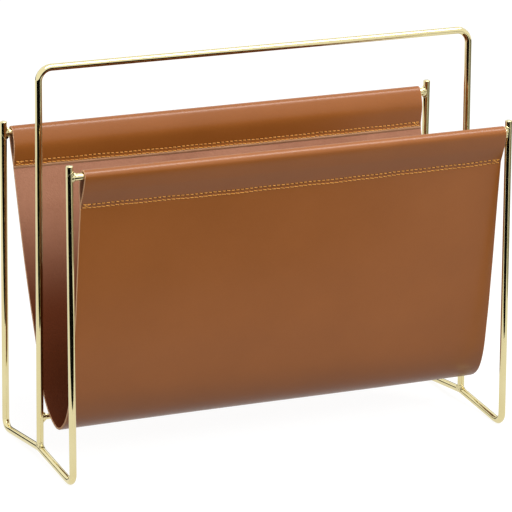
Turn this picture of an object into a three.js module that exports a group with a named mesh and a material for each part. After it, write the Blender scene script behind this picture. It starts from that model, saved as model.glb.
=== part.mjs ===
// Magazine rack: a frame of bent and brazed brass rod that carries a leather sling.
// Millimetres, +Z up. The long side runs along X, the front faces -Y, and the origin is on the
// floor under the middle of the rack.

import * as THREE from 'three';

// Rods
const ROD_RADIUS = 3.2;
const STRETCHER_RADIUS = 2.5;
const ROD_SIDES = 12;
const STEPS_PER_BEND = 5;
const CLEARANCE = 0.3; // between pieces that touch on the real rack

// End frames: two posts and a foot rail, bent from one rod
const END_FRAME_X = 212.5; // from the middle of the rack to each end frame's plane
const FOOT_HALF_WIDTH = 85; // post axes at the floor
const POST_TOP_HALF_WIDTH = 81.2; // the posts lean in a little
const POST_HEIGHT = 290; // at the front
const BACK_RISE = 2; // how much higher the back posts and their sling rod are
const FOOT_BEND_RADIUS = 9;
const PAD_END_Y = 72; // from here out to the foot bend the rail is level and bears on the floor
const PAD_EASE_RADIUS = 8;
const RAIL_RISE = 7; // how far the middle of the rail stands above its pads
const RAIL_PEAK_RADIUS = 24;

// Handle: one rod bent to an upside-down U, standing on the peaks of the foot rails
const HANDLE_Y = -3.4;
const HANDLE_AXIS_HEIGHT = 358.3;
const HANDLE_FOOT_X = 212.3;
const HANDLE_SHOULDER_X = 210.4;
const HANDLE_BEND_RADIUS = 12;

// Cross rods
const SLING_ROD_HEIGHT = 279.4; // at the front
const STRETCHER_HEIGHT = 39;

// Brazed fillets round the rod ends
const BEAD_GAP = 0.45;
const BEAD_LENGTH = 2.4;
const BEAD_WALL = 1.7; // at the thick end
const BEAD_TOE = 0.5; // wall left at the thin end
const BEAD_HOLLOW = 1 / 3; // how far along the fillet, and down to its toe, its hollow face turns

// Sling: one strip of leather, each end folded over its rod and sewn down on the inside
const LEATHER = 1.8; // thickness
const SLING_WIDTH = 409;
const SLING_CENTRE_X = 1.5;
const SLEEVE_GAP = 0.6; // slack between a sling rod and the leather round it
const FLAP_GAP = 0.3; // between the folded end and the panel that it is sewn to
const ROW_SPACING = 3.5; // between the two rows of stitches
const FLAP_HEM = 3; // leather below the lower row
const POINTS_PER_SPAN = 4; // outline points between two points of the sling's curve
const FOLD_POINTS = 5; // curve points over the top of a rod

// The sling's middle surface as (y, z), from the front seam down, under and up to the back seam.
// Magazines lean on the back panel, so it slants, and the fold hangs just ahead of the stretcher.
const FRONT_SEAM = [-75.2, 250.8];
const BACK_SEAM = [76.7, 251.3];
const HANG = [
  [-69.8, 205],
  [-64, 150],
  [-58.3, 98],
  [-51.2, 61],
  [-41.5, 42.8],
  [-26.5, 34.2],
  [-9.5, 39.8],
  [6.5, 55],
  [27.5, 103],
  [47, 153],
  [62.5, 202],
];

// Thread
const THREAD_RADIUS = 0.4;
const THREAD_SIDES = 8;
const THREAD_MARGIN = 1.5; // from the end of a row to the edge of the leather

const BRASS = { color: 0xd9c77e, roughness: 0.12, metalness: 1 };
const TAN_LEATHER = { color: 0x8b5630, roughness: 0.5, metalness: 0 };
const ORANGE_THREAD = { color: 0xcd8532, roughness: 0.7, metalness: 0 };

const rack = new THREE.Group();

function addPiece(name, geometry, finish) {
  const piece = new THREE.Mesh(geometry, new THREE.MeshStandardMaterial(finish));
  piece.name = name;
  rack.add(piece);
  return piece;
}

// The centreline of a bent rod: straight runs between corners, each corner rounded to its own
// radius. A bend is sampled in equal steps and a straight run only at its two ends.
class BentRodCurve extends THREE.Curve {
  constructor(corners, radii) {
    super();
    this.stations = [];
    const last = corners.length - 1;
    this.addStation(corners[0], direction(corners[0], corners[1]));
    for (let i = 1; i < last; i += 1) {
      this.addBend(corners[i - 1], corners[i], corners[i + 1], radii[i - 1]);
    }
    this.addStation(corners[last], direction(corners[last - 1], corners[last]));
  }

  addStation(point, tangent) {
    this.stations.push({ point, tangent });
  }

  addBend(before, corner, after, radius) {
    const incoming = direction(before, corner);
    const outgoing = direction(corner, after);
    const turn = incoming.angleTo(outgoing);
    const axis = incoming.clone().cross(outgoing).normalize();
    const start = corner.clone().addScaledVector(incoming, -radius * Math.tan(turn / 2));
    const toCentre = axis.clone().cross(incoming).multiplyScalar(radius);
    const centre = start.clone().add(toCentre);
    for (let step = 0; step <= STEPS_PER_BEND; step += 1) {
      const angle = (turn * step) / STEPS_PER_BEND;
      const spoke = toCentre.clone().negate().applyAxisAngle(axis, angle);
      this.addStation(centre.clone().add(spoke), incoming.clone().applyAxisAngle(axis, angle));
    }
  }

  station(u) {
    return this.stations[Math.round(u * (this.stations.length - 1))];
  }

  getPointAt(u, target = new THREE.Vector3()) {
    return target.copy(this.station(u).point);
  }

  getTangentAt(u, target = new THREE.Vector3()) {
    return target.copy(this.station(u).tangent);
  }
}

function direction(from, to) {
  return to.clone().sub(from).normalize();
}

// A round rod's section as a regular polygon. The flats touch the circle and four of them face
// along the section's own axes, so a level run has a level flat underneath.
function rodSection(radius, sides) {
  const cornerRadius = radius / Math.cos(Math.PI / sides);
  const corners = [];
  for (let i = 0; i < sides; i += 1) {
    const angle = (2 * Math.PI * (i + 0.5)) / sides;
    corners.push(new THREE.Vector2(Math.cos(angle), Math.sin(angle)).multiplyScalar(cornerRadius));
  }
  return new THREE.Shape(corners);
}

function rodGeometry(curve, radius, sides) {
  return new THREE.ExtrudeGeometry(rodSection(radius, sides), {
    steps: curve.stations.length - 1,
    extrudePath: curve,
  });
}

function straightRodGeometry(from, to, radius, sides) {
  return rodGeometry(new BentRodCurve([from, to], []), radius, sides);
}

// How far a post's axis is from the middle plane at a given height.
function postHalfWidth(height) {
  const rise = (height - ROD_RADIUS) / (POST_HEIGHT - ROD_RADIUS);
  return FOOT_HALF_WIDTH + (POST_TOP_HALF_WIDTH - FOOT_HALF_WIDTH) * rise;
}

// The axis of the sling rod on one side as (y, z). side is -1 at the front.
function slingRodCentre(side) {
  const height = SLING_ROD_HEIGHT + (side > 0 ? BACK_RISE : 0);
  return new THREE.Vector2(side * postHalfWidth(height), height);
}

function addEndFrame(name, x) {
  const corner = (y, z) => new THREE.Vector3(x, y, z);
  const backHeight = POST_HEIGHT + BACK_RISE;
  const corners = [
    corner(-POST_TOP_HALF_WIDTH, POST_HEIGHT),
    corner(-FOOT_HALF_WIDTH, ROD_RADIUS),
    corner(-PAD_END_Y, ROD_RADIUS),
    corner(HANDLE_Y, ROD_RADIUS + RAIL_RISE),
    corner(PAD_END_Y, ROD_RADIUS),
    corner(FOOT_HALF_WIDTH, ROD_RADIUS),
    corner(postHalfWidth(backHeight), backHeight),
  ];
  const halfRadii = [FOOT_BEND_RADIUS, PAD_EASE_RADIUS];
  const curve = new BentRodCurve(corners, [...halfRadii, RAIL_PEAK_RADIUS, ...halfRadii.reverse()]);
  addPiece(name, rodGeometry(curve, ROD_RADIUS, ROD_SIDES), BRASS);
}

const RAIL_TOP_HEIGHT = 2 * ROD_RADIUS + RAIL_RISE;
const HANDLE_FOOT_HEIGHT = RAIL_TOP_HEIGHT + CLEARANCE;

// How far a handle upright's axis is from the middle of the rack at a given height.
function handleX(height) {
  const rise = (height - HANDLE_FOOT_HEIGHT) / (HANDLE_AXIS_HEIGHT - HANDLE_FOOT_HEIGHT);
  return HANDLE_FOOT_X + (HANDLE_SHOULDER_X - HANDLE_FOOT_X) * rise;
}

function addHandle() {
  const corner = (x, z) => new THREE.Vector3(x, HANDLE_Y, z);
  const corners = [
    corner(-HANDLE_FOOT_X, HANDLE_FOOT_HEIGHT),
    corner(-HANDLE_SHOULDER_X, HANDLE_AXIS_HEIGHT),
    corner(HANDLE_SHOULDER_X, HANDLE_AXIS_HEIGHT),
    corner(HANDLE_FOOT_X, HANDLE_FOOT_HEIGHT),
  ];
  const curve = new BentRodCurve(corners, [HANDLE_BEND_RADIUS, HANDLE_BEND_RADIUS]);
  addPiece('handle_bow', rodGeometry(curve, ROD_RADIUS, ROD_SIDES), BRASS);
}

// A fillet of braze metal round a rod's end: a ring that is thick where the rod meets its
// neighbour, at the given point, and thins out along the rod.
function addBead(name, point, alongRod, rodRadius) {
  const bore = rodRadius + BEAD_GAP;
  const profile = [
    new THREE.Vector2(bore, 0),
    new THREE.Vector2(bore + BEAD_WALL, 0),
    new THREE.Vector2(
      bore + THREE.MathUtils.lerp(BEAD_TOE, BEAD_WALL, BEAD_HOLLOW),
      BEAD_LENGTH * BEAD_HOLLOW,
    ),
    new THREE.Vector2(bore + BEAD_TOE, BEAD_LENGTH),
    new THREE.Vector2(bore, BEAD_LENGTH),
    new THREE.Vector2(bore, 0),
  ];
  const bead = addPiece(name, new THREE.LatheGeometry(profile, ROD_SIDES), BRASS);
  bead.position.copy(point);
  bead.quaternion.setFromUnitVectors(new THREE.Vector3(0, 1, 0), alongRod);
}

// A straight rod along the rack between two upright rods, whose axes are at -neighbourX and
// neighbourX, with its two fillets.
function addCrossRod(name, y, z, radius, neighbourX) {
  const endX = neighbourX - ROD_RADIUS - CLEARANCE;
  const left = new THREE.Vector3(-endX, y, z);
  const right = new THREE.Vector3(endX, y, z);
  addPiece(name, straightRodGeometry(left, right, radius, ROD_SIDES), BRASS);
  addBead(`${name}_left_braze`, left, new THREE.Vector3(1, 0, 0), radius);
  addBead(`${name}_right_braze`, right, new THREE.Vector3(-1, 0, 0), radius);
}

// Points of the sling's middle surface at one hem, from the end of the folded flap, up the
// inside, over the rod and down the outside to the end of the seam. side is -1 at the front.
function hemPoints(side, seam, panelDirection) {
  const rodCentre = slingRodCentre(side);
  const foldRadius = ROD_RADIUS + SLEEVE_GAP + LEATHER / 2;
  const flapShift = outwardNormal(panelDirection, side).multiplyScalar(-LEATHER - FLAP_GAP);
  const seamEnd = seam.clone().addScaledVector(panelDirection, ROW_SPACING + FLAP_HEM);
  const inside = tangentPoint(seam.clone().add(flapShift), rodCentre, foldRadius, -side);
  const outside = tangentPoint(seam, rodCentre, foldRadius, side);
  const startAngle = inside.clone().sub(rodCentre).angle();
  let sweep = outside.clone().sub(rodCentre).angle() - startAngle;
  if (side < 0 && sweep < 0) sweep += 2 * Math.PI;
  if (side > 0 && sweep > 0) sweep -= 2 * Math.PI;
  const fold = [];
  for (let i = 0; i < FOLD_POINTS; i += 1) {
    const angle = startAngle + (sweep * i) / (FOLD_POINTS - 1);
    const spoke = new THREE.Vector2(Math.cos(angle), Math.sin(angle));
    fold.push(rodCentre.clone().addScaledVector(spoke, foldRadius));
  }
  return [seamEnd.clone().add(flapShift), seam.clone().add(flapShift), ...fold, seam, seamEnd];
}

// The direction out of the rack, square to a panel that runs down along the given direction.
function outwardNormal(down, side) {
  return new THREE.Vector2(-side * down.y, side * down.x);
}

// Where a straight line from a point below a circle touches it, on the side asked for.
function tangentPoint(from, centre, radius, side) {
  const toPoint = from.clone().sub(centre);
  const spread = Math.acos(radius / toPoint.length());
  const spoke = toPoint.normalize().multiplyScalar(radius);
  return spoke.rotateAround(new THREE.Vector2(), side * spread).add(centre);
}

function slingCurve() {
  const frontSeam = new THREE.Vector2(...FRONT_SEAM);
  const backSeam = new THREE.Vector2(...BACK_SEAM);
  const hang = HANG.map((point) => new THREE.Vector2(...point));
  const front = hemPoints(-1, frontSeam, direction(frontSeam, hang[0]));
  const back = hemPoints(1, backSeam, direction(backSeam, hang[hang.length - 1]));
  const route = [...front, ...hang, ...back.reverse()];
  const points = route.map((point) => new THREE.Vector3(0, point.x, point.y));
  return new THREE.CatmullRomCurve3(points, false, 'centripetal');
}

// The strip of leather seen from its end: the middle surface set off by half the thickness to
// either side.
function addSling() {
  const curve = slingCurve();
  const count = (curve.points.length - 1) * POINTS_PER_SPAN;
  const outer = [];
  const inner = [];
  for (let i = 0; i <= count; i += 1) {
    const point = curve.getPoint(i / count);
    const tangent = curve.getTangent(i / count);
    const offset = new THREE.Vector2(-tangent.z, tangent.y).setLength(LEATHER / 2);
    const middle = new THREE.Vector2(point.y, point.z);
    inner.push(middle.clone().add(offset));
    outer.push(middle.clone().sub(offset));
  }
  const strip = new THREE.Shape([...outer, ...inner.reverse()]);
  const geometry = new THREE.ExtrudeGeometry(strip, { depth: SLING_WIDTH, bevelEnabled: false });
  const alongY = new THREE.Vector3(0, 1, 0);
  const alongZ = new THREE.Vector3(0, 0, 1);
  const alongX = new THREE.Vector3(1, 0, 0);
  geometry.applyMatrix4(new THREE.Matrix4().makeBasis(alongY, alongZ, alongX));
  const sling = addPiece('leather_sling', geometry, TAN_LEATHER);
  sling.position.x = SLING_CENTRE_X - SLING_WIDTH / 2;
}

// One hem's two rows of stitches, each with its thread on the outside and on the inside.
function addHemThreads(hem, seam, nextPoint, side) {
  const start = new THREE.Vector2(...seam);
  const down = direction(start, new THREE.Vector2(...nextPoint));
  const outward = outwardNormal(down, side);
  const stand = LEATHER / 2 + CLEARANCE + THREAD_RADIUS;
  const faces = { outside: stand, inside: -(stand + LEATHER + FLAP_GAP) };
  const rows = { upper: 0, lower: ROW_SPACING };
  const reach = SLING_WIDTH / 2 - THREAD_MARGIN;
  for (const [row, drop] of Object.entries(rows)) {
    for (const [face, distance] of Object.entries(faces)) {
      const at = start.clone().addScaledVector(down, drop).addScaledVector(outward, distance);
      const left = new THREE.Vector3(SLING_CENTRE_X - reach, at.x, at.y);
      const right = new THREE.Vector3(SLING_CENTRE_X + reach, at.x, at.y);
      const thread = straightRodGeometry(left, right, THREAD_RADIUS, THREAD_SIDES);
      addPiece(`${hem}_${row}_${face}_thread`, thread, ORANGE_THREAD);
    }
  }
}

addEndFrame('left_end_frame', -END_FRAME_X);
addEndFrame('right_end_frame', END_FRAME_X);
addHandle();
for (const [name, side] of Object.entries({ front_sling_rod: -1, back_sling_rod: 1 })) {
  const centre = slingRodCentre(side);
  addCrossRod(name, centre.x, centre.y, ROD_RADIUS, END_FRAME_X);
}
const stretcherNeighbourX = handleX(STRETCHER_HEIGHT);
addCrossRod('stretcher_rod', HANDLE_Y, STRETCHER_HEIGHT, STRETCHER_RADIUS, stretcherNeighbourX);
for (const [name, side] of Object.entries({ left: -1, right: 1 })) {
  const foot = new THREE.Vector3(side * HANDLE_FOOT_X, HANDLE_Y, HANDLE_FOOT_HEIGHT);
  addBead(`handle_${name}_braze`, foot, new THREE.Vector3(0, 0, 1), ROD_RADIUS);
}
addSling();
addHemThreads('front_hem', FRONT_SEAM, HANG[0], -1);
addHemThreads('back_hem', BACK_SEAM, HANG[HANG.length - 1], 1);

export default rack;
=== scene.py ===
from math import cos, pi, radians, sin, sqrt

import bpy
import numpy as np
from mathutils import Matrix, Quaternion, Vector


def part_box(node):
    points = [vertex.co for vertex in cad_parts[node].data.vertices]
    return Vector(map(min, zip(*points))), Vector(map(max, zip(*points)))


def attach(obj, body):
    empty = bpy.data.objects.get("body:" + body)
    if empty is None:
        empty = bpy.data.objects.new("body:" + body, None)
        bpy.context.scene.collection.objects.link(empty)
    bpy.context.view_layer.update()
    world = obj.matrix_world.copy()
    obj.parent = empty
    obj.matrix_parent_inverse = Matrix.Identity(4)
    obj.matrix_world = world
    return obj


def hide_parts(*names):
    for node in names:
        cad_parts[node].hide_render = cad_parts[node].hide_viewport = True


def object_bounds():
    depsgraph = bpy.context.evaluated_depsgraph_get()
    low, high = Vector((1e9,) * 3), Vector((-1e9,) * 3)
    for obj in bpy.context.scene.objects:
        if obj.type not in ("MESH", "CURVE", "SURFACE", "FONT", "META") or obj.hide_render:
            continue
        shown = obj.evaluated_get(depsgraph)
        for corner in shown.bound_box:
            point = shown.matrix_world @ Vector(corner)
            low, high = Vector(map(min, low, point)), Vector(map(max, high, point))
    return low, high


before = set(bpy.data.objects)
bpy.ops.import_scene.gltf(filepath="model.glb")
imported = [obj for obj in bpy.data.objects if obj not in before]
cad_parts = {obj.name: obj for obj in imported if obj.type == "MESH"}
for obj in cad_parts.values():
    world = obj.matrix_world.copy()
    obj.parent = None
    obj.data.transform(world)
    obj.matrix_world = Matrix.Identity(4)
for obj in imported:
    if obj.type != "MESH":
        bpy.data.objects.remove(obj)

cad_low, cad_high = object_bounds()

# Camera: a long lens, a little to the left of the front and above the rack, tipped very
# slightly, with the whole rack in the square frame.
camera_turn = radians(-24.46)
camera_height = radians(16.15)
camera_roll = radians(0.49)
camera_distance = 3.07
camera_aim = Vector((0, 0, 0.455 * cad_high.z))
camera_side = Vector((
    sin(camera_turn) * cos(camera_height),
    -cos(camera_turn) * cos(camera_height),
    sin(camera_height),
))
lens = bpy.data.cameras.new("long_lens")
lens.lens = 237.5
lens.clip_end = 50
camera = bpy.data.objects.new("camera", lens)
camera.location = camera_aim + camera_distance * camera_side
camera.rotation_mode = "QUATERNION"
level_view = (-camera_side).to_track_quat("-Z", "Y")
camera.rotation_quaternion = level_view @ Quaternion((0, 0, 1), camera_roll)
bpy.context.collection.objects.link(camera)
bpy.context.scene.camera = camera


# Studio: a wide white floor and white walls, a large softbox overhead, a soft key light from the
# front and a weaker one behind. Dark and grey cards lie where only the rack's reflections show
# them, to draw dark lines down the bright metal.
def add_node(tree, kind, inputs=None, **settings):
    """Adds a node. An input's value is a number, a colour or another node's output."""
    node = tree.nodes.new(kind)
    for setting, value in settings.items():
        setattr(node, setting, value)
    for socket, value in (inputs or {}).items():
        if isinstance(value, bpy.types.NodeSocket):
            tree.links.new(value, node.inputs[socket])
        else:
            node.inputs[socket].default_value = value
    return node


def map_range(tree, value, given, wanted, **settings):
    """Takes a value from the given range to the wanted one."""
    inputs = {
        "Value": value,
        "From Min": given[0],
        "From Max": given[1],
        "To Min": wanted[0],
        "To Max": wanted[1],
    }
    return add_node(tree, "ShaderNodeMapRange", inputs, **settings).outputs["Result"]


def mixed(tree, amount, first, second):
    """The first colour, with as much of the second over it as the amount says."""
    inputs = {"Fac": amount, "Color1": first, "Color2": (*second, 1)}
    return add_node(tree, "ShaderNodeMixRGB", inputs).outputs["Color"]


def empty_material(name):
    material = bpy.data.materials.new(name)
    material.use_nodes = True
    material.node_tree.nodes.clear()
    return material


def surfaced(material, inputs):
    """The end of every material: one surface with these inputs."""
    tree = material.node_tree
    surface = add_node(tree, "ShaderNodeBsdfPrincipled", inputs)
    add_node(tree, "ShaderNodeOutputMaterial", {"Surface": surface.outputs["BSDF"]})
    return material


def stage_card(name, points, material):
    """A flat sheet of the stage, from its corners in metres."""
    mesh = bpy.data.meshes.new(name)
    mesh.from_pydata(points, [], [tuple(range(len(points)))])
    mesh.materials.append(material)
    card = bpy.data.objects.new(name, mesh)
    bpy.context.collection.objects.link(card)
    return card


def lying_card(name, outline, height, material):
    """A level card, with its outline as (x, y) points."""
    return stage_card(name, [(x, y, height) for x, y in outline], material)


def matte_material(name, colour, glow=0.0):
    material = empty_material(name)
    tree = material.node_tree
    grain = add_node(tree, "ShaderNodeTexNoise", {"Scale": 3.0, "Detail": 2.0})
    tone = add_node(tree, "ShaderNodeValToRGB", {"Fac": grain.outputs["Fac"]})
    tone.color_ramp.elements[0].color = [0.99 * part for part in colour] + [1]
    tone.color_ramp.elements[1].color = [*colour, 1]
    return surfaced(material, {
        "Base Color": tone.outputs["Color"],
        "Roughness": 0.9,
        "Specular IOR Level": 0.0,
        "Emission Color": (1, 1, 1, 1),
        "Emission Strength": glow,
    })


def seen_in_metal_only(card):
    card.visible_camera = False
    card.visible_diffuse = False
    card.visible_shadow = False


floor_half = 8.0
floor_outline = [
    (-floor_half, -floor_half),
    (floor_half, -floor_half),
    (floor_half, floor_half),
    (-floor_half, floor_half),
]
# The floor that shows is a lit white table. Two more just below it set what the rack gets from
# the floor: one its bounced light, the other its reflection in the rods.
mirror_height, bounce_height = -0.0005, -0.001
lit_white = matte_material("lit_floor", (0.2, 0.2, 0.2), 0.87)
lit_floor = lying_card("studio_floor", floor_outline, 0.0, lit_white)
lit_floor.visible_diffuse = False
lit_floor.visible_glossy = False
bounce_white = matte_material("bounce_floor", (0.66, 0.65, 0.64))
bounce_floor = lying_card("bounce_floor", floor_outline, bounce_height, bounce_white)
bounce_floor.visible_camera = False
bounce_floor.visible_glossy = False
mirror_white = matte_material("mirrored_floor", (0.25, 0.25, 0.25), 0.78)
mirrored_floor = lying_card("mirrored_floor", floor_outline, mirror_height, mirror_white)
seen_in_metal_only(mirrored_floor)

# The dark card starts a little way in front of the rack, so the dark line down each post fades
# out above its foot. The grey one lies to the right.
dark_card_height, grey_card_height = 0.0008, 0.0004
dark_outline = [
    (-4.0, -0.45),
    (-4.0, -4.5),
    (1.7, -4.5),
    (0.45, -0.95),
    (0.30, -0.40),
    (-0.30, -0.295),
    (-0.62, -0.22),
    (-1.0, -0.20),
]
black_felt = matte_material("black_felt", (0.003, 0.003, 0.003))
seen_in_metal_only(lying_card("dark_card", dark_outline, dark_card_height, black_felt))

grey_outline = [(0.55, -0.9), (3.5, -4.5), (3.5, 1.6), (0.75, 0.5)]
grey_paper = matte_material("grey_card", (0.20, 0.20, 0.17))
seen_in_metal_only(lying_card("grey_card", grey_outline, grey_card_height, grey_paper))

# Behind the table a low dark strip draws the thin dark lines along the foot rails.
strip_half, strip_y, strip_top = 3.5, 2.6, 0.62
strip_corners = [
    (-strip_half, strip_y, 0),
    (strip_half, strip_y, 0),
    (strip_half, strip_y, strip_top),
    (-strip_half, strip_y, strip_top),
]
seen_in_metal_only(stage_card("back_dark_strip", strip_corners, black_felt))

world = bpy.data.worlds.new("studio_light")
bpy.context.scene.world = world
world.use_nodes = True
walls = world.node_tree
bounced = add_node(walls, "ShaderNodeLightPath").outputs["Is Diffuse Ray"]
wall_glow, wall_bounce = 1.05, 0.57
strength = map_range(walls, bounced, (0, 1), (wall_glow, wall_bounce))
walls.nodes["Background"].inputs["Color"].default_value = (1.0, 1.0, 1.0, 1)
walls.links.new(strength, walls.nodes["Background"].inputs["Strength"])


def softbox(name, location, aim, width, length, power):
    """A soft rectangular light, in metres and watts."""
    light = bpy.data.lights.new(name, "AREA")
    light.shape = "RECTANGLE"
    light.size = width
    light.size_y = length
    light.energy = power
    box = bpy.data.objects.new(name, light)
    box.location = location
    box.rotation_mode = "QUATERNION"
    box.rotation_quaternion = (Vector(aim) - Vector(location)).to_track_quat("-Z", "Y")
    bpy.context.collection.objects.link(box)
    return box


softbox("overhead_softbox", (0.4, -0.62, 1.6), (0.2, -0.05, 0.2), 1.9, 0.42, 26)
key_light = softbox("front_key_light", (0.4, -2.2, 1.8), camera_aim, 1.8, 1.2, 26)
key_light.visible_glossy = False
back_light = softbox("back_fill_light", (-0.5, 2.4, 1.5), camera_aim, 1.8, 1.2, 22)
back_light.visible_glossy = False
bpy.context.scene.view_settings.view_transform = "Standard"


# End frames: each is one steel rod, 6.4 mm thick, bent into two posts and a foot rail, polished
# and plated in pale brass. The post tops are cut square and their edges softened. The rail rises
# to its middle, so the rack stands on the four bends.
def brass_finish(name, polish, pitting, lumps=0.0):
    """Pale brass plating: drawn lines along the rod, a slow drift of tint, pits and lumps."""
    material = empty_material(name)
    tree = material.node_tree
    place = add_node(tree, "ShaderNodeTexCoord").outputs["Object"]
    along = add_node(tree, "ShaderNodeAttribute", attribute_name="along_rod").outputs["Fac"]
    spoke = add_node(tree, "ShaderNodeAttribute", attribute_name="round_rod").outputs["Vector"]
    run = add_node(tree, "ShaderNodeCombineXYZ", {"X": along})
    stretched = add_node(
        tree, "ShaderNodeVectorMath", {0: run.outputs["Vector"], 1: (4.0, 0, 0)}, operation="MULTIPLY"
    )
    lay = add_node(
        tree, "ShaderNodeVectorMath", {0: stretched.outputs["Vector"], 1: spoke}, operation="ADD"
    )
    lines = add_node(
        tree, "ShaderNodeTexNoise", {"Vector": lay.outputs["Vector"], "Scale": 18.0, "Detail": 4.0}
    )
    drift = add_node(tree, "ShaderNodeTexNoise", {"Vector": place, "Scale": 22.0, "Detail": 2.0})
    tint = add_node(tree, "ShaderNodeValToRGB", {"Fac": drift.outputs["Fac"]})
    tint.color_ramp.elements[0].position = 0.3
    tint.color_ramp.elements[0].color = (0.78, 0.68, 0.36, 1)
    tint.color_ramp.elements[1].position = 0.7
    tint.color_ramp.elements[1].color = (0.83, 0.74, 0.42, 1)
    pits = add_node(tree, "ShaderNodeTexVoronoi", {"Vector": place, "Scale": 900.0})
    pit_mask = map_range(tree, pits.outputs["Distance"], (0.0, 0.32), (pitting, 0.0))
    base = mixed(tree, pit_mask, tint.outputs["Color"], (0.10, 0.07, 0.02))
    shine = map_range(tree, lines.outputs["Fac"], (0.3, 0.7), (polish, polish + 0.05))
    ridges = add_node(
        tree,
        "ShaderNodeBump",
        {"Strength": 0.25, "Distance": 0.00002, "Height": lines.outputs["Fac"]},
    )
    swell = add_node(tree, "ShaderNodeTexNoise", {"Vector": place, "Scale": 430.0, "Detail": 1.0})
    uneven = add_node(
        tree,
        "ShaderNodeBump",
        {
            "Strength": lumps,
            "Distance": 0.0014,
            "Height": swell.outputs["Fac"],
            "Normal": ridges.outputs["Normal"],
        },
    )
    dents = add_node(
        tree,
        "ShaderNodeBump",
        {
            "Strength": pitting,
            "Distance": 0.0001,
            "Height": pits.outputs["Distance"],
            "Normal": uneven.outputs["Normal"],
        },
    )
    return surfaced(material, {
        "Base Color": base,
        "Roughness": shine,
        "Normal": dents.outputs["Normal"],
        "Metallic": 1.0,
    })


def add_inputs(tree, inputs):
    """Gives a geometry tree its named inputs and one geometry output."""
    for label, (kind, default) in inputs.items():
        socket = tree.interface.new_socket(label, in_out="INPUT", socket_type=kind)
        if default is not None:
            socket.default_value = default
    tree.interface.new_socket("Geometry", in_out="OUTPUT", socket_type="NodeSocketGeometry")
    return tree.nodes.new("NodeGroupInput").outputs


def bent_rod_tree():
    """A rod along a line of corners: rounds the corners, then sweeps a circle along."""
    tree = bpy.data.node_groups.new("bent_rod", "GeometryNodeTree")
    given = add_inputs(tree, {
        "Line": ("NodeSocketGeometry", None),
        "Rod Radius": ("NodeSocketFloat", 0.003),
        "Sides": ("NodeSocketInt", 40),
        "Bend Steps": ("NodeSocketInt", 16),
        "Finish": ("NodeSocketMaterial", None),
    })
    line = add_node(tree, "GeometryNodeMeshToCurve", {"Mesh": given["Line"]})
    bend = add_node(tree, "GeometryNodeInputNamedAttribute", {"Name": "bend_radius"}, data_type="FLOAT")
    rounded = add_node(
        tree,
        "GeometryNodeFilletCurve",
        {
            "Curve": line.outputs["Curve"],
            "Count": given["Bend Steps"],
            "Radius": bend.outputs["Attribute"],
            "Limit Radius": True,
        },
        mode="POLY",
    )
    length = add_node(tree, "GeometryNodeSplineParameter").outputs["Length"]
    measured = add_node(
        tree,
        "GeometryNodeStoreNamedAttribute",
        {"Geometry": rounded.outputs["Curve"], "Name": "along_rod", "Value": length},
        data_type="FLOAT",
        domain="POINT",
    )
    circle = add_node(
        tree,
        "GeometryNodeCurvePrimitiveCircle",
        {"Resolution": given["Sides"], "Radius": given["Rod Radius"]},
        mode="RADIUS",
    )
    spoke = add_node(
        tree,
        "ShaderNodeVectorMath",
        {0: add_node(tree, "GeometryNodeInputPosition").outputs["Position"]},
        operation="NORMALIZE",
    )
    section = add_node(
        tree,
        "GeometryNodeStoreNamedAttribute",
        {"Geometry": circle.outputs["Curve"], "Name": "round_rod", "Value": spoke.outputs["Vector"]},
        data_type="FLOAT_VECTOR",
        domain="POINT",
    )
    taper = add_node(tree, "GeometryNodeInputNamedAttribute", {"Name": "end_taper"}, data_type="FLOAT")
    swept = add_node(
        tree,
        "GeometryNodeCurveToMesh",
        {
            "Curve": measured.outputs["Geometry"],
            "Profile Curve": section.outputs["Geometry"],
            "Scale": taper.outputs["Attribute"],
            "Fill Caps": True,
        },
    )
    finish_tree(tree, swept.outputs["Mesh"], given["Finish"])
    return tree


def finish_tree(tree, geometry, material):
    """The end of every geometry tree: smooth faces, real geometry and one finish."""
    smooth = add_node(tree, "GeometryNodeSetShadeSmooth", {"Geometry": geometry})
    real = add_node(tree, "GeometryNodeRealizeInstances", {"Geometry": smooth.outputs["Geometry"]})
    coated = add_node(
        tree,
        "GeometryNodeSetMaterial",
        {"Geometry": real.outputs["Geometry"], "Material": material},
    )
    add_node(tree, "NodeGroupOutput", {"Geometry": coated.outputs["Geometry"]})


def run_tree(tree, start_mesh, values, name):
    """Runs a geometry tree on a mesh and returns what it makes as a plain mesh object."""
    maker = bpy.data.objects.new(name + "_maker", start_mesh)
    bpy.context.collection.objects.link(maker)
    modifier = maker.modifiers.new("build", "NODES")
    modifier.node_group = tree
    items = tree.interface.items_tree
    sockets = {item.name: item.identifier for item in items if item.in_out == "INPUT"}
    for label, value in values.items():
        modifier[sockets[label]] = value
    bpy.context.view_layer.update()
    built = maker.evaluated_get(bpy.context.evaluated_depsgraph_get())
    mesh = bpy.data.meshes.new_from_object(built)
    bpy.data.objects.remove(maker)
    piece = bpy.data.objects.new(name, mesh)
    bpy.context.collection.objects.link(piece)
    return piece


def softened_tip(corner, towards, rod_radius, edge_radius):
    """Points and tapers that round off a rod's cut end, from its tip inwards."""
    dome = 0.04 * rod_radius
    inward = (towards - corner).normalized()
    points, tapers = [corner], [0.5 * (rod_radius - edge_radius) / rod_radius]
    steps = 6  # round the edge
    for step in range(steps + 1):
        angle = 0.5 * pi * step / steps
        depth = dome + edge_radius * (1 - cos(angle))
        points.append(corner + depth * inward)
        tapers.append(1 - edge_radius * (1 - sin(angle)) / rod_radius)
    return points, tapers


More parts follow.
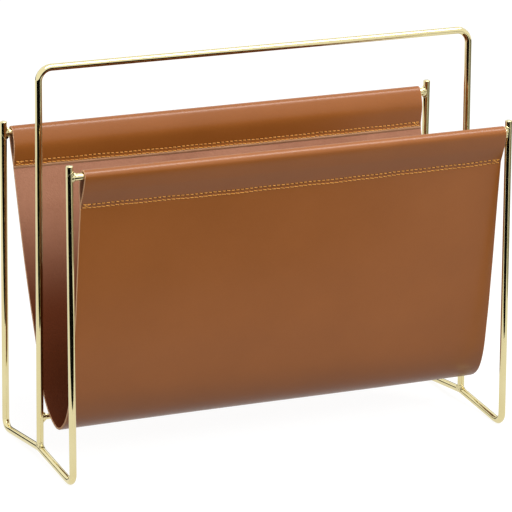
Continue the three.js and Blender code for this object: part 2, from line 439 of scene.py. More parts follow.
def rod_line(name, corners, bends, rod_radius, edge_radius):
    """The line that a rod follows, with its bend radii and the taper of its two ends."""
    head, head_tapers = softened_tip(corners[0], corners[1], rod_radius, edge_radius)
    tail, tail_tapers = softened_tip(corners[-1], corners[-2], rod_radius, edge_radius)
    points = head + corners[1:-1] + tail[::-1]
    tapers = head_tapers + [1.0] * len(bends) + tail_tapers[::-1]
    radii = [0.0] * len(head) + bends + [0.0] * len(tail)
    mesh = bpy.data.meshes.new(name + "_line")
    mesh.from_pydata(points, [(i, i + 1) for i in range(len(points) - 1)], [])
    mesh.attributes.new("bend_radius", "FLOAT", "POINT").data.foreach_set("value", radii)
    mesh.attributes.new("end_taper", "FLOAT", "POINT").data.foreach_set("value", tapers)
    return mesh


def finish_piece(piece, slot, *nodes):
    """Hangs a piece on the rack's one body in place of its CAD nodes."""
    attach(piece, "root")
    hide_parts(*nodes)


def make_rod(name, node, corners, bends, rod_radius, edge_radius):
    """A polished rod bent along its corners, as a finished piece."""
    line = rod_line(name, corners, bends, rod_radius, edge_radius)
    values = {"Rod Radius": rod_radius, "Sides": 40, "Bend Steps": 16, "Finish": polished_brass}
    piece = run_tree(rod_tree, line, values, name)
    finish_piece(piece, "brass_rod", node)
    return piece


polished_brass = brass_finish("polished_brass", polish=0.035, pitting=0.0)
rod_tree = bent_rod_tree()

foot_bend = 0.009
pad_end = 0.072  # the rail lies level from here out to the foot bend
pad_ease = 0.008
rail_peak_bend = 0.024
front_post_drop = 0.002  # the front posts are cut this much shorter
edge_softening = 0.0008
node_gap = 0.0003  # between neighbouring CAD solids


def rod_axis(node):
    """Where a level rod's axis is, as y and z, and its radius."""
    low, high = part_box(node)
    return (low.y + high.y) / 2, (low.z + high.z) / 2, (high.z - low.z) / 2


front_rod_y, front_rod_z, rod_radius = rod_axis("front_sling_rod")
back_rod_y, back_rod_z, rod_radius = rod_axis("back_sling_rod")
handle_low, handle_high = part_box("handle_bow")
handle_y = (handle_low.y + handle_high.y) / 2
rail_peak_z = handle_low.z - node_gap - rod_radius

end_frame_x = {}
for side in ("left", "right"):
    low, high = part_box(side + "_end_frame")
    x = (low.x + high.x) / 2
    end_frame_x[side] = x
    foot_y = high.y - rod_radius
    lean = (back_rod_y - foot_y) / (back_rod_z - rod_radius)
    front_top_z = high.z - front_post_drop
    corners = [
        Vector((x, -foot_y - lean * (front_top_z - rod_radius), front_top_z)),
        Vector((x, -foot_y, rod_radius)),
        Vector((x, -pad_end, rod_radius)),
        Vector((x, handle_y, rail_peak_z)),
        Vector((x, pad_end, rod_radius)),
        Vector((x, foot_y, rod_radius)),
        Vector((x, foot_y + lean * (high.z - rod_radius), high.z)),
    ]
    bends = [foot_bend, pad_ease, rail_peak_bend, pad_ease, foot_bend]
    make_rod(side + "_end_rod", side + "_end_frame", corners, bends, rod_radius, edge_softening)

# Handle: one rod bent to an upside-down U. Its feet stand on the peaks of the foot rails, and
# it draws in a little towards the top.
handle_bend = 0.012
foot_inset, shoulder_inset = 0.0002, 0.0019
handle_foot_x = end_frame_x["right"] - foot_inset
handle_shoulder_x = handle_foot_x - shoulder_inset
handle_axis_z = handle_high.z - rod_radius
handle_corners = [
    Vector((-handle_foot_x, handle_y, handle_low.z)),
    Vector((-handle_shoulder_x, handle_y, handle_axis_z)),
    Vector((handle_shoulder_x, handle_y, handle_axis_z)),
    Vector((handle_foot_x, handle_y, handle_low.z)),
]
butt_end = 0.0002
make_rod("handle_rod", "handle_bow", handle_corners, [handle_bend] * 2, rod_radius, butt_end)

# Cross rods: two straight rods that carry the sling, and a thinner stretcher low down between
# the handle's uprights. Each is cut to length and brazed at both ends.
for name, node in {
    "front_sling_bar": "front_sling_rod",
    "back_sling_bar": "back_sling_rod",
    "low_stretcher": "stretcher_rod",
}.items():
    low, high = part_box(node)
    y, z, radius = rod_axis(node)
    make_rod(name, node, [Vector((low.x, y, z)), Vector((high.x, y, z))], [], radius, butt_end)


# Brazed fillets: braze metal drawn in round the end of each cross rod and each handle foot,
# plated with the frame. A fillet runs from the rod's side to its neighbour's in a hollow curve,
# never quite even, and pitted where the flux boiled off.
def braze_fillet(name, joint, along, across, rod_radius, neighbour_radius, seed):
    """The joint is on the neighbour's axis, which runs along across; along is the rod's way out."""
    turns, steps, reach, sink = 48, 8, 0.0030, 0.0004
    unevenness, hollow = 0.12, 0.10
    square = across.cross(along)
    wobble = np.random.default_rng(seed).uniform(-1, 1, (2, 3)).tolist()
    points = []
    for i in range(turns):
        angle = 2 * pi * i / turns
        waves = [
            wobble[0][k] * cos((k + 1) * angle) + wobble[1][k] * sin((k + 1) * angle)
            for k in range(3)
        ]
        leg = reach * (1 + unevenness * sum(waves))
        radial = cos(angle) * square + sin(angle) * across
        sideways = min(rod_radius * abs(cos(angle)) / neighbour_radius, 1.0)
        rise = neighbour_radius * sqrt(1 - sideways**2)
        root = joint + rod_radius * radial + rise * along
        toe_on_rod = root + leg * along
        swing = float(np.arcsin(sideways) * np.sign(cos(angle))) + leg / neighbour_radius * cos(angle)
        toe_on_neighbour = (
            joint
            + neighbour_radius * (sin(swing) * square + cos(swing) * along)
            + (rod_radius + leg) * sin(angle) * across
        )
        outward = (toe_on_rod - root) + (toe_on_neighbour - root)
        waist = root + hollow * outward
        points.append(toe_on_rod - sink * radial)
        for step in range(steps + 1):
            t = step / steps
            points.append((1 - t) ** 2 * toe_on_rod + 2 * t * (1 - t) * waist + t**2 * toe_on_neighbour)
        points.append(toe_on_neighbour - sink * (radial + along).normalized())
    ring = steps + 3
    faces = []
    for i in range(turns):
        for k in range(ring):
            a, b = i * ring + k, i * ring + (k + 1) % ring
            c, d = (i + 1) % turns * ring + (k + 1) % ring, (i + 1) % turns * ring + k
            faces.append((a, b, c, d))
    mesh = bpy.data.meshes.new(name)
    mesh.from_pydata(points, [], faces)
    mesh.shade_smooth()
    mesh.materials.append(brazed_brass)
    piece = bpy.data.objects.new(name, mesh)
    bpy.context.collection.objects.link(piece)
    return piece


brazed_brass = brass_finish("brazed_brass", polish=0.08, pitting=0.8, lumps=0.8)
up, right = Vector((0, 0, 1)), Vector((1, 0, 0))
seed = 1
for side, sign in (("left", -1), ("right", 1)):
    for node in ("front_sling_rod", "back_sling_rod", "stretcher_rod"):
        y, z, radius = rod_axis(node)
        low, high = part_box(node)
        joint = Vector((sign * (high.x + node_gap + rod_radius), y, z))
        name = node.replace("rod", side) + "_fillet"
        fillet = braze_fillet(name, joint, -sign * right, up, radius, rod_radius, seed)
        finish_piece(fillet, "brass_rod", f"{node}_{side}_braze")
        seed += 1
    foot = Vector((sign * handle_foot_x, handle_y, rail_peak_z))
    name = f"handle_{side}_fillet"
    fillet = braze_fillet(name, foot, up, Vector((0, 1, 0)), rod_radius, rod_radius, seed)
    finish_piece(fillet, "brass_rod", f"handle_{side}_braze")
    seed += 1


# Sling: one strip of tan leather, smooth outside and napped inside, cut square with raw edges.
# Each end goes over its rod and comes down on the inside, where two rows of stitches hold it.
# Magazines lean on the back panel, so it slants, and the fold hangs just ahead of the stretcher.
def leather_side(
    name, dark, light, roughness, gloss, grain_depth, grain_size, hole_dent_and_shade_strength=0.0, pocket_shade_amount=0.0
):
    """Leather with its colour clouded and its grain laid on the strip's own flat measure."""
    material = empty_material(name)
    tree = material.node_tree
    place = add_node(tree, "ShaderNodeAttribute", attribute_name="cut_place").outputs["Vector"]
    cells = add_node(
        tree,
        "ShaderNodeTexVoronoi",
        {"Vector": place, "Scale": 1 / grain_size, "Randomness": 1.0},
        feature="SMOOTH_F1",
    )
    fine = add_node(
        tree, "ShaderNodeTexNoise", {"Vector": place, "Scale": 0.6 / grain_size, "Detail": 5.0}
    )
    clouds = add_node(
        tree, "ShaderNodeTexNoise", {"Vector": place, "Scale": 14.0, "Detail": 5.0, "Roughness": 0.6}
    )
    # Each stitch goes down through an awl hole: a small pit, one to a stitch, dented by the bump, with
    # painted shade darkening its colour.
    sewn = add_node(tree, "ShaderNodeAttribute", attribute_name="sewn_place").outputs["Vector"]
    sewn_parts = add_node(tree, "ShaderNodeSeparateXYZ", {"Vector": sewn})
    off_hole = add_node(
        tree,
        "ShaderNodeMath",
        {0: sewn_parts.outputs["X"], 1: stitch_pitch / 2, 2: -stitch_pitch / 2},
        operation="WRAP",
    )
    off_hole_and_row = add_node(
        tree, "ShaderNodeCombineXYZ", {"X": off_hole.outputs["Value"], "Y": sewn_parts.outputs["Y"]}
    )
    off = add_node(
        tree, "ShaderNodeVectorMath", {0: off_hole_and_row.outputs["Vector"]}, operation="LENGTH"
    )
    hole_dent_and_shade = map_range(tree, off.outputs["Value"], (0.0003, 0.0008), (hole_dent_and_shade_strength, 0.0))
    grain = add_node(
        tree, "ShaderNodeMath", {0: cells.outputs["Distance"], 1: fine.outputs["Fac"]}, operation="ADD"
    )
    height = add_node(
        tree,
        "ShaderNodeMath",
        {0: hole_dent_and_shade, 1: -4.0, 2: grain.outputs["Value"]},
        operation="MULTIPLY_ADD",
    )
    cloud_share = 0.75
    blend = add_node(
        tree, "ShaderNodeMath", {0: clouds.outputs["Fac"], 1: cloud_share}, operation="MULTIPLY"
    )
    mottle = add_node(
        tree,
        "ShaderNodeMath",
        {0: fine.outputs["Fac"], 1: 1 - cloud_share, 2: blend.outputs["Value"]},
        operation="MULTIPLY_ADD",
    )
    tone = add_node(tree, "ShaderNodeValToRGB", {"Fac": mottle.outputs["Value"]})
    tone.color_ramp.elements[0].position = 0.22
    tone.color_ramp.elements[0].color = [*dark, 1]
    tone.color_ramp.elements[1].position = 0.78
    tone.color_ramp.elements[1].color = [*light, 1]
    # Painted shade: the flesh side is darkened towards the bottom of the pocket, standing in for the
    # shade deep inside the fold. It is unshaded and fully shaded at these distances from the strip's two
    # ends.
    shade_start_from_end, shade_full_from_end = 0.100, 0.225
    along_strip = add_node(tree, "ShaderNodeSeparateXYZ", {"Vector": place}).outputs["Y"]
    past_middle = add_node(
        tree, "ShaderNodeMath", {0: along_strip, 1: -strip_length / 2}, operation="ADD"
    )
    from_middle = add_node(
        tree, "ShaderNodeMath", {0: past_middle.outputs["Value"]}, operation="ABSOLUTE"
    )
    painted_pocket_shade = map_range(
        tree,
        from_middle.outputs["Value"],
        (strip_length / 2 - shade_full_from_end, strip_length / 2 - shade_start_from_end),
        (pocket_shade_amount, 0.0),
        interpolation_type="SMOOTHSTEP",
    )
    # Painted shade towards the bottom of the pocket.
    pocket_shaded = mixed(tree, painted_pocket_shade, tone.outputs["Color"], (0.100, 0.018, 0.002))
    # Painted shade in each awl hole.
    hole_shaded = mixed(tree, hole_dent_and_shade, pocket_shaded, (0.03, 0.008, 0.003))
    shine = map_range(
        tree, fine.outputs["Fac"], (0.3, 0.7), (roughness - 0.05, roughness + 0.05)
    )
    relief = add_node(
        tree,
        "ShaderNodeBump",
        {"Strength": 0.6, "Distance": grain_depth, "Height": height.outputs["Value"]},
    )
    return surfaced(material, {
        "Base Color": hole_shaded,
        "Roughness": shine,
        "Normal": relief.outputs["Normal"],
        "Specular IOR Level": gloss,
    })


leather_thickness = 0.0018
sling_low, sling_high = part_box("leather_sling")
sling_width = sling_high.x - sling_low.x
sling_centre_x = (sling_low.x + sling_high.x) / 2
sleeve_gap = 0.0006  # slack between a rod and the leather round it
row_spacing = 0.0035
flap_hem = 0.003  # leather below the lower row
sewn_gap = 0.00004  # between the two layers where they are sewn
pared_edge = 0.0020  # the flap's end is thinned over this much

# The strip's middle line as (y, z): the upper row of each seam, and the panels and fold between.
front_seam = np.array((-0.0752, 0.2508))
back_seam = np.array((0.0767, 0.2513))
hang = np.array([  # down the front, through the fold and up the back
    (-0.0698, 0.2050),
    (-0.0640, 0.1500),
    (-0.0583, 0.0980),
    (-0.0512, 0.0610),
    (-0.0415, 0.0428),
    (-0.0265, 0.0342),
    (-0.0095, 0.0398),
    (0.0065, 0.0550),
    (0.0275, 0.1030),
    (0.0470, 0.1530),
    (0.0625, 0.2020),
])


def unit(vector):
    return vector / np.linalg.norm(vector)


def hem_points(side, seam, next_point):
    """One hem's part of the strip's middle line, from the flap's end to below the seam."""
    fold_steps = 8
    down = unit(next_point - seam)
    outward = np.array((-side * down[1], side * down[0]))
    rod = np.array((front_rod_y, front_rod_z) if side < 0 else (back_rod_y, back_rod_z))
    fold_radius = rod_radius + sleeve_gap + leather_thickness / 2
    flap = -outward * (leather_thickness + sewn_gap)
    seam_end = seam + down * (row_spacing + flap_hem)

    def touch(point, way):
        """The turn round the rod at which a straight pull from the point meets the fold."""
        reach = point - rod
        return np.arctan2(reach[1], reach[0]) + way * np.arccos(fold_radius / np.linalg.norm(reach))

    first, last = touch(seam + flap, -side), touch(seam, side)
    sweep = (last - first) % (2 * pi) if side < 0 else -((first - last) % (2 * pi))
    turns = [first + sweep * i / fold_steps for i in range(fold_steps + 1)]
    fold = [rod + fold_radius * np.array((cos(turn), sin(turn))) for turn in turns]
    # Stiff leather doesn't lie straight between the rod and the seam, but bellies out.
    down_share, flap_bulge, panel_bulge = 0.4, 0.0030, 0.0008
    up_share = 1 - down_share
    flap_belly = up_share * fold[0] + down_share * (seam + flap) - flap_bulge * outward
    panel_belly = up_share * fold[-1] + down_share * seam + panel_bulge * outward
    sewn_flap = [seam_end + flap, seam + row_spacing * down + flap, seam + flap]
    sewn_panel = [seam, seam + row_spacing * down, seam_end]
    return [*sewn_flap, flap_belly, *fold[1:-1], panel_belly, *sewn_panel]


def smooth_line(points, steps=24):
    """A centripetal Catmull-Rom line through the points, finely divided."""
    ends = [2 * points[0] - points[1], *points, 2 * points[-1] - points[-2]]
    line = []
    for p0, p1, p2, p3 in zip(ends, ends[1:], ends[2:], ends[3:]):
        t1 = sqrt(np.linalg.norm(p1 - p0))
        t2 = t1 + sqrt(np.linalg.norm(p2 - p1))
        t3 = t2 + sqrt(np.linalg.norm(p3 - p2))
        for t in np.linspace(t1, t2, steps, endpoint=False):
            a1 = (t1 - t) / t1 * p0 + t / t1 * p1
            a2 = (t2 - t) / (t2 - t1) * p1 + (t - t1) / (t2 - t1) * p2
            a3 = (t3 - t) / (t3 - t2) * p2 + (t - t2) / (t3 - t2) * p3
            b1 = (t2 - t) / t2 * a1 + t / t2 * a2
            b2 = (t3 - t) / (t3 - t1) * a2 + (t - t1) / (t3 - t1) * a3
            line.append((t2 - t) / (t2 - t1) * b1 + (t - t1) / (t2 - t1) * b2)
    return np.array(line + [points[-1]])


front_hem = hem_points(-1, front_seam, hang[0])
back_hem = hem_points(1, back_seam, hang[-1])
middle_line = smooth_line([*front_hem, *hang, *back_hem[::-1]])
measure = np.concatenate([[0], np.cumsum(np.linalg.norm(np.diff(middle_line, axis=0), axis=1))])
strip_length = measure[-1]


def place_on_line(point):
    """How far along the strip the middle line passes closest to a point."""
    return measure[np.argmin(np.linalg.norm(middle_line - point, axis=1))]


# The stitch rows, as distances along the strip: in the panel and, mirrored, in the flap.
panel_rows = [place_on_line(hem[i]) for hem in (front_hem, back_hem) for i in (-3, -2)]
flap_rows = [place_on_line(hem[i]) for hem in (front_hem, back_hem) for i in (2, 1)]
stitch_rows = panel_rows + flap_rows
stitch_margin = 0.0015
stitch_count = 93
stitch_pitch = (sling_width - 2 * stitch_margin) / stitch_count
hem_length = place_on_line(front_hem[-1])


def stations_along():
    """Where the strip has a row of points: close at the hems and stitches, wider elsewhere."""
    hem_count, panel_count, closest = 56, 84, 0.00022
    fine = np.linspace(0, hem_length, hem_count)
    panel = np.linspace(hem_length, strip_length - hem_length, panel_count)
    rows = [fine, panel[1:-1], strip_length - fine[::-1]]
    for row in stitch_rows:
        rows.append(row + np.array((-1.4, -0.8, -0.4, 0, 0.4, 0.8, 1.4)) / 1000)
    ordered = np.unique(np.clip(np.concatenate(rows), 0, strip_length))
    apart = np.concatenate([[True], np.diff(ordered) > closest])
    apart[-1] = True
    return ordered[apart]


def ripple(across, along, seed=4):
    """The leather's slow, shallow waves, in metres."""
    waves, wave_height = 7, 0.00022
    random = np.random.default_rng(seed)
    total = np.zeros(np.broadcast(across, along).shape)
    for _ in range(waves):
        wave = random.uniform(-1, 1, 2) * (16, 22)
        total = total + np.sin(wave[0] * across + wave[1] * along + random.uniform(0, 2 * pi))
    return wave_height * total


along = stations_along()
edge_round = 0.0004
half = sling_width / 2
holes = -half + stitch_margin + stitch_pitch * np.arange(0, stitch_count + 0.5, 0.5)
columns = np.concatenate([[-half + edge_round], holes[1:-1], [half - edge_round]])


def strip_loop():
    """One section across the strip: (place across, share of half the thickness) all round."""
    arc = [radians(turn) for turn in (22.5, 45, 67.5)]
    depth = edge_round / (leather_thickness / 2)
    right_top = [(half - edge_round * (1 - sin(a)), 1 - depth * (1 - cos(a))) for a in arc]
    right_edge = right_top + [(half, 0.0)] + [(x, -share) for x, share in right_top[::-1]]
    top = [(x, 1.0) for x in columns]
    bottom = [(x, -1.0) for x in columns[::-1]]
    left_edge = [(-x, share) for x, share in right_edge[::-1]]
    return top + right_edge + bottom + left_edge


loop = strip_loop()
across = np.array([x for x, _ in loop])
share = np.array([s for _, s in loop])


# The edges were cut by hand, so the strip is a little wider under its fold and hangs a little
# askew: how far along, and where the middle and the edge of the strip are there.
edge_places = [
    0,
    panel_rows[0],
    panel_rows[0] + 0.1,
    0.47 * strip_length,
    panel_rows[2] - 0.15,
    strip_length,
]
edge_middles = [0.0030, 0.0041, 0.0038, 0.0020, 0.0003, -0.0010]
edge_halves = [0.2030, 0.2047, 0.2050, 0.2058, 0.2046, 0.2048]


# Neither seam is quite level: each runs up towards the rod's ends, so the sleeve is deepest in
# its middle. Leather slides that much up both sides of the rod, and the panel below takes it up.
sleeve_top = (panel_rows[0] + flap_rows[0]) / 2
round_rod, taken_up = 0.012, 0.06
slide_places = [0, sleeve_top - round_rod, sleeve_top + round_rod, hem_length, hem_length + taken_up]
slide_shares = [1, 1, -1, -1, 0]
stitch_bed = 0.00016  # how far the rows of stitches are drawn into the leather


def slid(s, x):
    """Where a place on the flat strip lies along the middle line, x metres from its middle."""
    reach = x / half
    front_rise = 0.0008 + 0.0019 * reach**2
    back_rise = 0.0020 + 0.0010 * reach**2 - 0.0009 * reach
    in_front = np.interp(s, slide_places, slide_shares)
    at_back = np.interp(strip_length - s, slide_places, slide_shares)
    return s + front_rise * in_front - back_rise * at_back


def on_line(place):
    """The middle line's y and z at a place along it."""
    return [np.interp(place, measure, middle_line[:, k]) for k in (0, 1)]


def build_strip():
    """Every point of the strip, its normals, and how its sections drift and spread."""
    lain = slid(along[:, None], across[None, :])
    points_y, points_z = on_line(lain)
    step = 0.0004
    ahead = np.stack(on_line(lain + step), axis=2) - np.stack(on_line(lain - step), axis=2)
    tangent = ahead / np.linalg.norm(ahead, axis=2, keepdims=True)
    # The line runs up the inside of the front hem, over its rod and down the outside, with
    # the outer face on its right.
    normal = np.stack([tangent[:, :, 1], -tangent[:, :, 0]], axis=2)
    s, x = along[:, None], across[None, :]
    fade = 0.05
    free = np.clip((s - panel_rows[1]) / fade, 0, 1) * np.clip((panel_rows[3] - s) / fade, 0, 1)
    lift = ripple(x, s) * free
    lift = lift + share[None, :] * leather_thickness / 2
    pared = np.clip((pared_edge - np.minimum(s, strip_length - s)) / pared_edge, 0, 1)
    lift = lift - np.clip(share[None, :] + 0.8, 0, None) * pared * leather_thickness / 2
    phase = np.cos(2 * pi * (x + half - stitch_margin) / stitch_pitch)
    bed_width, pucker = 0.0007, 0.00010
    for row in stitch_rows:
        dip = np.exp(-((s - row) / bed_width) ** 2)
        depth = stitch_bed + pucker * phase
        lift = lift - np.maximum(share[None, :], 0) * dip * depth
    drift = np.interp(along, edge_places, edge_middles) - sling_centre_x
    spread = 1 + (np.interp(along, edge_places, edge_halves) - half) / half
    fold_z, fold_reach, fold_skew = 0.04, 0.035, -0.0018
    skew = fold_skew * np.exp(-(((points_z - fold_z) / fold_reach) ** 2))
    y = points_y + normal[:, :, 0] * lift + skew * x / half
    z = points_z + normal[:, :, 1] * lift
    px = sling_centre_x + x * spread[:, None] + drift[:, None]
    return np.stack([px, y, z], axis=2), normal, drift, spread


strip_points, strip_normals, strip_drift, strip_spread = build_strip()


def strip_mesh(name):
    """Joins the sections, closes both ends and says which faces are grain, nap or raw edge."""
    rows, ring = len(along), len(loop)
    count = len(columns)
    edge = (ring - 2 * count) // 2
    corner = np.arange(rows * ring).reshape(rows, ring)
    faces, kinds = [], []
    grain, nap, raw = 0, 1, 2
    kind_of = [grain] * (count - 1) + [raw] * (edge + 1) + [nap] * (count - 1) + [raw] * (edge + 1)
    for i in range(rows - 1):
        for k in range(ring):
            after = (k + 1) % ring
            faces.append((corner[i, k], corner[i + 1, k], corner[i + 1, after], corner[i, after]))
            from_end = min(along[i], strip_length - along[i + 1])
            kinds.append(raw if from_end < pared_edge - 0.0002 else kind_of[k])
    top = list(range(count))
    bottom = [count + edge + count - 1 - k for k in range(count)]
    right_edge = list(range(count, count + edge))
    left_edge = list(range(ring - edge, ring))
    for i, turned in ((0, False), (rows - 1, True)):
        caps = [(top[k], bottom[k], bottom[k + 1], top[k + 1]) for k in range(count - 1)]
        caps.append((top[-1], bottom[-1], *right_edge[::-1]))
        caps.append((bottom[0], top[0], *left_edge[::-1]))
        for cap in caps:
            face = tuple(corner[i, k] for k in cap)
            faces.append(face if turned else face[::-1])
            kinds.append(raw)
    mesh = bpy.data.meshes.new(name)
    whole_faces = [tuple(int(corner_index) for corner_index in face) for face in faces]
    mesh.from_pydata(strip_points.reshape(-1, 3).tolist(), [], whole_faces)
    mesh.polygons.foreach_set("material_index", kinds)
    place = np.zeros((rows, ring, 3))
    place[:, :, 0] = across[None, :]
    place[:, :, 1] = along[:, None]
    place[:, :, 2] = share[None, :] * leather_thickness / 2
    mesh.attributes.new("cut_place", "FLOAT_VECTOR", "POINT").data.foreach_set("vector", place.ravel())
    off_row = along[:, None] - np.array(stitch_rows)[None, :]
    nearest_row = np.take_along_axis(off_row, np.abs(off_row).argmin(axis=1)[:, None], axis=1)
    place[:, :, 0] = across[None, :] + half - stitch_margin
    place[:, :, 1] = nearest_row
    place[:, :, 2] = 0
    mesh.attributes.new("sewn_place", "FLOAT_VECTOR", "POINT").data.foreach_set("vector", place.ravel())
    mesh.shade_smooth()
    return mesh


sling_mesh = strip_mesh("sling")
leather_sides = [
    leather_side(
        "tan_grain_side",
        dark=(0.246, 0.075, 0.011),
        light=(0.295, 0.094, 0.017),
        roughness=0.34,
        gloss=0.46,
        grain_depth=0.00005,
        grain_size=0.0009,
        # the awl holes' dent and their painted shade
        hole_dent_and_shade_strength=1.0,
    ),
    leather_side(
        "tan_flesh_side",
        dark=(0.29, 0.124, 0.070),
        light=(0.43, 0.208, 0.128),
        roughness=0.70,
        gloss=0.10,
        grain_depth=0.00030,
        grain_size=0.0013,
        # the strength of the painted shade in the pocket
        pocket_shade_amount=0.96,
    ),
    leather_side(
        "raw_cut_edge",
        dark=(0.55, 0.285, 0.145),
        light=(0.73, 0.450, 0.270),
        roughness=0.70,
        gloss=0.25,
        grain_depth=0.00008,
        grain_size=0.0004,
    ),
]
for side_material in leather_sides:
    sling_mesh.materials.append(side_material)
sling = bpy.data.objects.new("sling", sling_mesh)
bpy.context.collection.objects.link(sling)
finish_piece(sling, "leather", "leather_sling")


# Hem threads: waxed orange thread, lock-stitched in two rows through both layers of each hem.
# Each stitch stands up between its two holes and dives into them; the lower row is the tighter.
def thread_finish():
    material = empty_material("orange_thread")
    tree = material.node_tree
    along = add_node(tree, "ShaderNodeAttribute", attribute_name="along_thread").outputs["Fac"]
    round_thread = add_node(tree, "ShaderNodeAttribute", attribute_name="round_thread").outputs["Fac"]
    twist = add_node(
        tree, "ShaderNodeMath", {0: along, 1: 5200.0, 2: round_thread}, operation="MULTIPLY_ADD"
    )
    strand = add_node(tree, "ShaderNodeMath", {0: twist.outputs["Value"]}, operation="SINE")
    place = add_node(tree, "ShaderNodeTexCoord").outputs["Object"]
    fuzz = add_node(tree, "ShaderNodeTexNoise", {"Vector": place, "Scale": 900.0, "Detail": 3.0})
    tone = add_node(tree, "ShaderNodeValToRGB", {"Fac": fuzz.outputs["Fac"]})
    tone.color_ramp.elements[0].position = 0.3
    tone.color_ramp.elements[0].color = (0.54, 0.20, 0.018, 1)
    tone.color_ramp.elements[1].position = 0.7
    tone.color_ramp.elements[1].color = (0.77, 0.37, 0.068, 1)
    relief = add_node(
        tree,
        "ShaderNodeBump",
        {"Strength": 0.7, "Distance": 0.00008, "Height": strand.outputs["Value"]},
    )
    return surfaced(material, {
        "Base Color": tone.outputs["Color"],
        "Normal": relief.outputs["Normal"],
        "Roughness": 0.5,
        "Sheen Weight": 0.25,
        "Sheen Roughness": 0.4,
    })


def stitch_row_tree():
    """One arched stitch at each point of a row, turned and stretched as the point says."""
    tree = bpy.data.node_groups.new("stitch_row", "GeometryNodeTree")
    given = add_inputs(tree, {
        "Row": ("NodeSocketGeometry", None),
        "Stitch Length": ("NodeSocketFloat", 0.0036),
        "Thread Radius": ("NodeSocketFloat", 0.00042),
        "Rise": ("NodeSocketFloat", 0.0008),
        "Dive": ("NodeSocketFloat", 0.0005),
        "Lean": ("NodeSocketFloat", 0.0),
        "Unevenness": ("NodeSocketFloat", 0.06),
        "Seed": ("NodeSocketInt", 1),
        "Finish": ("NodeSocketMaterial", None),
    })

    def times(value, factor):
        node = add_node(tree, "ShaderNodeMath", {0: value, 1: factor}, operation="MULTIPLY")
        return node.outputs["Value"]

    depth = times(given["Dive"], -1.0)
    behind, ahead = times(given["Stitch Length"], -0.5), times(given["Stitch Length"], 0.5)
    first = add_node(tree, "ShaderNodeCombineXYZ", {"X": behind, "Z": depth})
    last = add_node(tree, "ShaderNodeCombineXYZ", {"X": ahead, "Z": depth})
    crown = add_node(tree, "ShaderNodeCombineXYZ", {"Z": given["Rise"]})
    arch = add_node(
        tree,
        "GeometryNodeCurveQuadraticBezier",
        {
            "Resolution": 8,
            "Start": first.outputs["Vector"],
            "Middle": crown.outputs["Vector"],
            "End": last.outputs["Vector"],
        },
    )
    run = add_node(tree, "GeometryNodeSplineParameter").outputs["Length"]
    arch_marked = add_node(
        tree,
        "GeometryNodeStoreNamedAttribute",
        {"Geometry": arch.outputs["Curve"], "Name": "along_thread", "Value": run},
        data_type="FLOAT",
        domain="POINT",
    )
    circle = add_node(
        tree,
        "GeometryNodeCurvePrimitiveCircle",
        {"Resolution": 8, "Radius": given["Thread Radius"]},
        mode="RADIUS",
    )
    turn = times(add_node(tree, "GeometryNodeSplineParameter").outputs["Factor"], 2 * pi)
    circle_marked = add_node(
        tree,
        "GeometryNodeStoreNamedAttribute",
        {"Geometry": circle.outputs["Curve"], "Name": "round_thread", "Value": turn},
        data_type="FLOAT",
        domain="POINT",
    )
    stitch = add_node(
        tree,
        "GeometryNodeCurveToMesh",
        {
            "Curve": arch_marked.outputs["Geometry"],
            "Profile Curve": circle_marked.outputs["Geometry"],
            "Fill Caps": True,
        },
    )
    stretch = add_node(tree, "GeometryNodeInputNamedAttribute", {"Name": "stretch"}, data_type="FLOAT")
    size = add_node(tree, "ShaderNodeCombineXYZ", {"X": stretch.outputs["Attribute"], "Y": 1.0, "Z": 1.0})
    lean_turn = add_node(tree, "ShaderNodeCombineXYZ", {"X": given["Lean"]})
    placed = add_node(
        tree,
        "GeometryNodeInstanceOnPoints",
        {
            "Points": given["Row"],
            "Instance": stitch.outputs["Mesh"],
            "Rotation": lean_turn.outputs["Vector"],
            "Scale": size.outputs["Vector"],
        },
    )
    slant = add_node(tree, "GeometryNodeInputNamedAttribute", {"Name": "slant"}, data_type="FLOAT")
    chance = add_node(tree, "FunctionNodeRandomValue", {"Seed": given["Seed"]}, data_type="FLOAT")
    chance.inputs[2].default_value = -1.0
    jitter = add_node(
        tree,
        "ShaderNodeMath",
        {0: chance.outputs[1], 1: given["Unevenness"], 2: slant.outputs["Attribute"]},
        operation="MULTIPLY_ADD",
    )
    slant_turn = add_node(tree, "ShaderNodeCombineXYZ", {"Z": jitter.outputs["Value"]})
    slanted = add_node(
        tree,
        "GeometryNodeRotateInstances",
        {
            "Instances": placed.outputs["Instances"],
            "Rotation": slant_turn.outputs["Vector"],
            "Local Space": True,
        },
    )
    finish_tree(tree, slanted.outputs["Instances"], given["Finish"])
    return tree


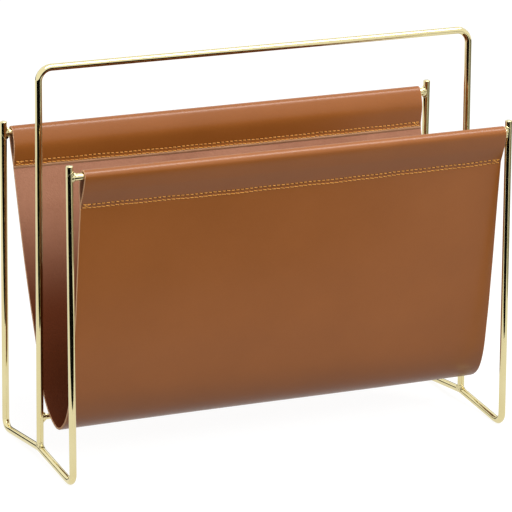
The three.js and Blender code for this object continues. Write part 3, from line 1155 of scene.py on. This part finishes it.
def stitch_points(name, place, outward, middle_x, reach, is_lower):
    """The places of a row of stitches, with a few more where the upper row starts and stops."""
    end_x = half - stitch_margin - stitch_pitch / 2
    lift = leather_thickness / 2 - stitch_bed

    def seat(x):
        y, z = (float(value) for value in on_line(slid(place, x)))
        return Vector((middle_x + x / half * reach, y, z)) + lift * Vector((0, *outward))

    down = Vector((0, -outward[1], outward[0])) * (-1 if outward[0] > 0 else 1)
    slant = -0.16 if is_lower else -0.08
    places, turns, stretches = [], [], []
    for i in range(stitch_count):
        wander = 0.00016 * (sin(0.23 * i + 1.0) + sin(0.61 * i))
        x = end_x * (2 * i / (stitch_count - 1) - 1)
        places.append(seat(x) + wander * down)
        turns.append(slant)
        stretches.append(1.0)
    if not is_lower:
        # Back-tacks: pitches in from the end, metres down from the row, and turn.
        back_tacks = ((0.15, 0.0008, 0.7), (0.8, 0.0009, -0.6), (0.4, 0.0021, 0.25))
        for end, way in ((seat(-end_x), 1), (seat(end_x), -1)):
            for step, drop, turn in back_tacks:
                places.append(end + Vector((way * step * stitch_pitch, 0, 0)) + drop * down)
                turns.append(way * turn)
                stretches.append(0.8)
    mesh = bpy.data.meshes.new(name)
    mesh.from_pydata(places, [], [])
    mesh.attributes.new("slant", "FLOAT", "POINT").data.foreach_set("value", turns)
    mesh.attributes.new("stretch", "FLOAT", "POINT").data.foreach_set("value", stretches)
    return mesh


orange_thread = thread_finish()
stitch_tree = stitch_row_tree()
threads = []
for hem_index, hem in enumerate(("front", "back")):
    for row_index, row in enumerate(("upper", "lower")):
        for face in ("outside", "inside"):
            rows = panel_rows if face == "outside" else flap_rows
            place = rows[2 * hem_index + row_index]
            station = int(np.argmin(np.abs(along - place)))
            outward = strip_normals[station, len(columns) // 2].tolist()
            middle_x = float(sling_centre_x + strip_drift[station])
            reach = float(half * strip_spread[station])
            is_lower = row == "lower"
            name = f"{hem}_{row}_{face}_stitches"
            start_mesh = stitch_points(name + "_places", place, outward, middle_x, reach, is_lower)
            values = {
                "Stitch Length": 0.0039 if is_lower else 0.0029,
                "Thread Radius": 0.00042,
                "Rise": 0.0011,
                "Dive": 0.0003,
                "Lean": float(np.arctan2(outward[1], outward[0]) - pi / 2),
                "Unevenness": 0.06,
                "Seed": 11 + len(threads),
                "Finish": orange_thread,
            }
            stitches = run_tree(stitch_tree, start_mesh, values, name)
            finish_piece(stitches, "thread", f"{hem}_hem_{row}_{face}_thread")
            threads.append(stitches)
